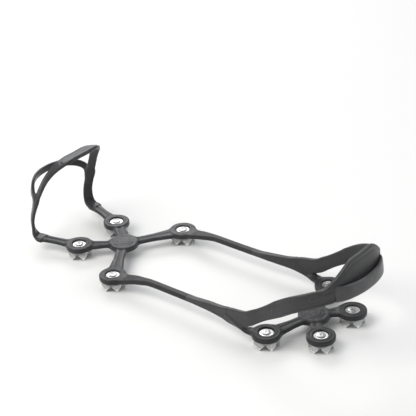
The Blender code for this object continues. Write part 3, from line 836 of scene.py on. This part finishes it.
class Tab:
    """Thin curved tab that grows out of the strap's upper edge."""

    TOP = 61.6                          # height of the rim at the rear
    SHOULDER, ROUNDING = 0.165, 0.03    # where the rim starts to fall, how softly (in u)
    SLOPE = 52.0                        # fall of the rim per unit of u
    FOOT = 1.6                          # softness and height of the foot on the strap
    EDGE = 0.9                          # edge rounding

    def __init__(self):
        self.u = np.linspace(-0.62, 0.62, 240)
        self.path = np.array([heel_path(u) for u in self.u])
        tangent = np.gradient(self.path, axis=0)
        normal = np.stack([tangent[:, 1], -tangent[:, 0]], 1)
        self.normal = normal / np.linalg.norm(normal, axis=1)[:, None]
        self.strap = np.array([heel_height(u) for u in self.u])

    def __call__(self, points):
        chunk = 20000                   # bounds the memory used
        i = np.concatenate([np.argmin(
            ((points[k:k + chunk, None, :2] - self.path[None]) ** 2).sum(2), axis=1)
            for k in range(0, len(points), chunk)])
        offset = points[:, :2] - self.path[i]
        out = (offset * self.normal[i]).sum(1)
        along = np.linalg.norm(offset - self.normal[i] * out[:, None], axis=1)
        u = np.abs(self.u[i])
        strap = self.strap[i]
        z = points[:, 2]
        fall = self.SLOPE * self.ROUNDING * np.logaddexp(0, (u - self.SHOULDER) / self.ROUNDING)
        foot = strap + STRAP_WIDTH / 2 + self.FOOT - 30.0 * np.clip(u - 0.42, 0, 1)
        rim = self.FOOT * np.logaddexp((self.TOP - fall) / self.FOOT, foot / self.FOOT) - 0.2
        # the tab leans inwards with height
        out = out + 0.12 * np.clip(z - strap - STRAP_WIDTH / 2, 0, None) + 0.2
        # rolled rim with a fine groove under it
        half = 1.2 + 0.35 / (1 + np.exp(-(z - rim + 2.2) / 0.35))
        half = half - 0.3 * bell(z - rim + 3.4, 0.5)
        # eases the height distance where the rim slants
        slant = np.where((u > 0.15) & (u < 0.40), 0.72, 0.95)
        q = np.stack([np.abs(out) - half + self.EDGE, (z - rim) * slant + self.EDGE,
                      (strap - z) + self.EDGE], -1)
        return np.maximum(rounded(q, self.EDGE), along - 2.0)


strap_arc = heel_rows(1.0, 18, lambda u: (STRAP_WIDTH, 3.0, 0.0))
strap_band = Band(bridged(ARCH_REAR, strap_arc), 1.1, heel_lines)

# Left lower branch of the fork, from the strap down into the heel web; rows as above
LOWER = [[-40.3, -55.0, 3.6, 6.0, 3.4, -1.0, 0, 0.0],
         [-40.6, -61.0, 1.9, 6.0, 3.4, -0.9, 0, -0.2],
         [-41.0, -69.0, -0.7, 6.0, 3.5, -0.8, 0, -0.6],
         [-40.2, -76.0, -2.3, 7.0, 3.4, -0.2, 0, -0.95],
         [-37.6, -87.0, -2.2, 11.0, 3.4, 0, 0, -1]]
lower_parts = [Band(rows, 1.0) for rows in both(LOWER)]
# Slanted seam between the heel web and the sides of the strap
SEAM_Y, SEAM_Z = -71.0, -1.5


def heel_web():
    stations = stations_of("heel")
    parts = pads(stations, HEEL_HUB)
    for sx, _ in SIDES:
        parts += [arm(HEEL_HUB, (sx * 31, -92), 10, 12),
                  arm(HEEL_HUB, (sx * 15, -115), 10, 11)]
    solid = Clip(Union(parts + lower_parts + [strap_band], BLEND, bores(stations)),
                 ((0, SEAM_Y, SEAM_Z + 1.2), (0, 0.6, 1.0)),
                 ((0, 0, 2.7), (0, 0, 1)))
    obj = mould("heel_web_moulding", solid, (-50, -134, -6), (50, -60, 5))
    finish(obj, RUBBER, "harness_rubber", "heel_web")
    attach(obj, "heel")


def heel_strap_side(sx, side):
    solid = Clip(Union([strap_band] + lower_parts, BLEND),
                 ((0, -57.2, 0), (0, 1, 0)),
                 ((0, -101.4, 0), (0, -1, 0)),
                 ((0, SEAM_Y, SEAM_Z - 0.6), (0, -0.6, -1.0)),
                 ((sx * 20, 0, 0), (-sx, 0, 0)))
    x_low, x_high = sorted((sx * 36, sx * 47))
    obj = mould(f"heel_strap_side_{side}", solid, (x_low, -103, -6), (x_high, -56, 36))
    finish(obj, RUBBER_HEEL, "harness_rubber")
    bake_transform(obj)


def heel_strap_back():
    solid = Clip(Union([strap_band, Tab()], 1.5), ((0, -98.6, 0), (0, 1, 0)))
    obj = mould("heel_strap_and_tab", solid, (-47, -148, 14), (47, -98, 64))
    finish(obj, RUBBER_HEEL, "harness_rubber", "heel_strap", "heel_shield")
    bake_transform(obj)


heel_web()
for sx, side in SIDES:
    heel_strap_side(sx, side)
heel_strap_back()

# ---------------------------------------------------------------- pull loop
LOOP_REACH = 0.3                # half of the loop's arc, in u
LOOP_TAIL = 0.07                # further length that dives into the strap


def unit(value):
    return min(1.0, max(0.0, value))


def loop_section(u):
    """Bows out at the middle; wider and thinner towards the ends."""
    u = abs(u)
    if u < LOOP_REACH:
        offset = 3.0 + 2.2 * math.cos(u / LOOP_REACH * math.pi / 2)
    else:
        offset = 3.0 - (u - LOOP_REACH) / LOOP_TAIL * 1.9
    width = 10.0 + 1.3 * unit((u - 0.12) / (LOOP_REACH - 0.05))
    thick = 2.4 - 1.3 * unit((u - LOOP_REACH + 0.1) / 0.17) ** 1.5
    return width, thick, offset


def pull_loop():
    """Two halves that meet in a flat joint on the centre line."""
    rows = spline(heel_rows(LOOP_REACH + LOOP_TAIL, 22, loop_section, lift=0.1), 0.7)
    joint = rows[len(rows) // 2].copy()
    joint[0] = 0.0
    joint[FACE_X] = 0.0
    for sx, side in SIDES:
        half = rows[rows[:, 0] * sx > 0.2]
        half = np.vstack([half, joint] if sx < 0 else [joint, half])
        obj = sweep(f"pull_loop_{side}", half, radius=1.0, crown=0.25)
        finish(obj, RUBBER_LOOP_AND_PAD_HIGHLIGHT, "loop_rubber", *(["pull_loop"] if sx < 0 else []))
        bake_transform(obj)


pull_loop()

# -------------------------------------------------------------------- steel
TEETH = 6
TOOTH_DROP = 5.0                # tip of a tooth below the plate
SKIRT_DROP = 0.35               # rim between the teeth below the plate
TOOTH_SPREAD = 0.86             # share of the pitch a tooth takes
TOOTH_CUT = 0.955               # where the tip is cut flat
CROWN_BEVEL = 0.10
RIVET_UNDER, RIVET_UPPER = -6.0, -0.6   # seats of the dome and of the upper head
WASHER_BASE = -1.7

# Profiles as (radius, z)
RIVET_PROFILE = [(radius, RIVET_UNDER - drop) for radius, drop in (
    (0.25, 1.30), (1.0, 1.24), (1.8, 1.10), (2.6, 0.83), (3.2, 0.48), (3.55, 0.15),
    (3.6, 0), (1.9, 0))]
RIVET_PROFILE += [(radius, RIVET_UPPER + rise) for radius, rise in (
    (1.9, 0), (3.0, 0), (2.95, 0.2), (2.6, 0.4), (1.3, 0.42), (1.1, 0.18), (0.25, 0.12))]
WASHER_PROFILE = [(radius, WASHER_BASE + rise) for radius, rise in (
    (2.3, 0.08), (2.38, 0), (4.9, 0), (5.0, 0.1), (5.0, 0.68), (4.86, 0.8),
    (2.44, 0.8), (2.3, 0.66))]


def crown_profile(angle):
    """Flat plate with a rim that drops into teeth round the crown."""
    phase = ((angle - math.pi / TEETH) / (2 * math.pi) * TEETH) % 1.0
    bite = min(max(0.0, 1 - abs(2 * phase - 1) / TOOTH_SPREAD), TOOTH_CUT)
    tip = CROWN_LOW - SKIRT_DROP - (TOOTH_DROP - SKIRT_DROP) * (bite / TOOTH_CUT) ** 1.05
    halfway = tip * 0.5 + CROWN_LOW * 0.5
    return [(2.2, CROWN_TOP), (4.2, CROWN_TOP), (5.0, CROWN_TOP - 0.12),
            (7.4, CROWN_TOP - 0.12), (8.2, CROWN_TOP - 0.3), (8.6, CROWN_TOP - 0.9),
            (8.7, halfway), (8.85, tip), (7.62, tip), (7.5, halfway),
            (7.3, CROWN_LOW), (5.0, CROWN_LOW - 0.02), (2.2, CROWN_LOW)]


def spin(profile_at, station, count, hollow=True):
    """Turn profile_at(angle) about the station; a part that isn't hollow gets end caps."""
    cx, cy = float(station[0]), float(station[1])
    angles = [2 * math.pi * k / count for k in range(count)]
    profiles = [profile_at(angle) for angle in angles]
    bm = bmesh.new()
    rings = []
    for level in zip(*profiles):
        rings.append([bm.verts.new(to_scene(cx + radius * math.cos(angle),
                                            cy + radius * math.sin(angle), z))
                      for angle, (radius, z) in zip(angles, level)])
    pairs = list(zip(rings, rings[1:]))
    if hollow:
        pairs.append((rings[-1], rings[0]))
    else:
        bm.faces.new(rings[0])
        bm.faces.new(list(reversed(rings[-1])))
    for a, b in pairs:
        for k in range(count):
            k2 = (k + 1) % count
            bm.faces.new((a[k], a[k2], b[k2], b[k]))
    return bm


def bevel_edges(bm):
    sharp = [e for e in bm.edges if e.is_manifold
             and e.calc_face_angle(0) > math.radians(38)]
    bmesh.ops.bevel(bm, geom=sharp, offset=CROWN_BEVEL * MM, segments=2,
                    affect='EDGES', profile=0.5, clamp_overlap=True)


def fit(name, bm, material, slot, node, body):
    """Place a steel part; it replaces the CAD node and rides on the body."""
    bmesh.ops.recalc_face_normals(bm, faces=bm.faces)
    obj = place(bpy.data.meshes.new(name), bm, sharp_degrees=34)
    finish(obj, material, slot, node)
    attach(obj, body)


for name, station in sorted(STATIONS.items()):
    body = "forefoot" if name.startswith("fore") else "heel"
    crown = spin(crown_profile, station, CROWN_SEGMENTS)
    bevel_edges(crown)
    fit(f"crown_{name}", crown, CROWN, "crown_steel", f"crown_plate_{name}", body)
    pin = spin(lambda angle: RIVET_PROFILE, station, ROUND_SEGMENTS, hollow=False)
    fit(f"rivet_pin_{name}", pin, RIVET, "rivet_steel", f"rivet_{name}", body)
    disc = spin(lambda angle: WASHER_PROFILE, station, ROUND_SEGMENTS)
    fit(f"washer_disc_{name}", disc, WASHER, "washer_steel", f"washer_{name}", body)

# -------------------------------------------------------------------- stage
bpy.context.scene.view_settings.view_transform = "Standard"
bpy.ops.mesh.primitive_plane_add(size=6.0, location=(0, 0, -0.0001))
floor = bpy.context.active_object
floor.name = "floor"
floor.data.materials.append(pale_floor())


def area_light(name, at, aim_height, size, power, colour=(1, 1, 1)):
    """Rectangular light aimed at a point over the origin, in metres."""
    light = bpy.data.lights.new(name, 'AREA')
    light.shape = 'RECTANGLE'
    light.size, light.size_y = size
    light.energy = power
    light.color = colour
    obj = bpy.data.objects.new(name, light)
    bpy.context.scene.collection.objects.link(obj)
    obj.location = at
    direction = Vector((0, 0, aim_height)) - Vector(at)
    obj.rotation_euler = direction.to_track_quat('-Z', 'Y').to_euler()


area_light("key", at=(-0.75, 0.35, 1.05), aim_height=0.02, size=(0.9, 0.9), power=13,
           colour=(1.0, 0.985, 0.96))
area_light("fill", at=(0.6, -1.1, 0.7), aim_height=0.02, size=(1.2, 0.8), power=5,
           colour=(0.95, 0.97, 1.0))
area_light("rim", at=(0.7, 0.9, 0.8), aim_height=0.03, size=(0.8, 0.6), power=7)


def studio_world():
    """Soft surround, darker low down and near white overhead."""
    world = bpy.data.worlds.new("studio")
    bpy.context.scene.world = world
    world.use_nodes = True
    nodes = Nodes(world.node_tree)
    around = nodes.add("TexCoord").outputs["Generated"]
    height = nodes.add("SeparateXYZ", Vector=around).outputs["Z"]
    shade = nodes.ramp(height, (0.05, (0.34, 0.36, 0.39)), (0.75, (0.95, 0.96, 0.98)))
    nodes.set(world.node_tree.nodes["Background"], Color=shade, Strength=0.6)


studio_world()

# ------------------------------------------------------------------- camera
AZIMUTH, ELEVATION, ROLL = math.radians(-48.54), math.radians(28.56), math.radians(-4.96)
CAMERA_DISTANCE = 1019.47               # mm
PIVOT = Vector((0, -48, 21.2))          # the camera orbits this point, before the lean
LEAN = Matrix.Rotation(-math.atan(4.7 / 132), 3, 'X')   # the sole's slope
LEAN_OFFSET = Vector((0, 47.4, 10.7))   # added after the lean, mm
TURN_RIGHT, TURN_UP = 0.008792831, 0.02347566   # tangents of the aim's offset
LENS, SENSOR = 123.122596, 36.0         # mm


def camera_matrix():
    away = Vector((math.sin(AZIMUTH) * math.cos(ELEVATION),
                   -math.cos(AZIMUTH) * math.cos(ELEVATION), math.sin(ELEVATION)))
    level = Vector((0, 0, 1)).cross(away).normalized()
    upright = away.cross(level)
    right = LEAN @ (level * math.cos(ROLL) + upright * math.sin(ROLL))
    up = LEAN @ (-level * math.sin(ROLL) + upright * math.cos(ROLL))
    spot = (LEAN @ (PIVOT + away * CAMERA_DISTANCE) + LEAN_OFFSET) * MM
    backward = (LEAN @ away - right * TURN_RIGHT - up * TURN_UP).normalized()
    across = (right - backward * right.dot(backward)).normalized()
    turn = Matrix((across, backward.cross(across), backward)).transposed()
    return Matrix.Translation(spot) @ turn.to_4x4()


cam_data = bpy.data.cameras.new("photo_view")
cam_data.sensor_width = SENSOR
cam_data.sensor_fit = 'HORIZONTAL'
cam_data.lens = LENS
cam_data.clip_start = 0.01
camera = bpy.data.objects.new("photo_view", cam_data)
bpy.context.scene.collection.objects.link(camera)
camera.matrix_world = camera_matrix()
bpy.context.scene.camera = camera

bpy.context.view_layer.update()
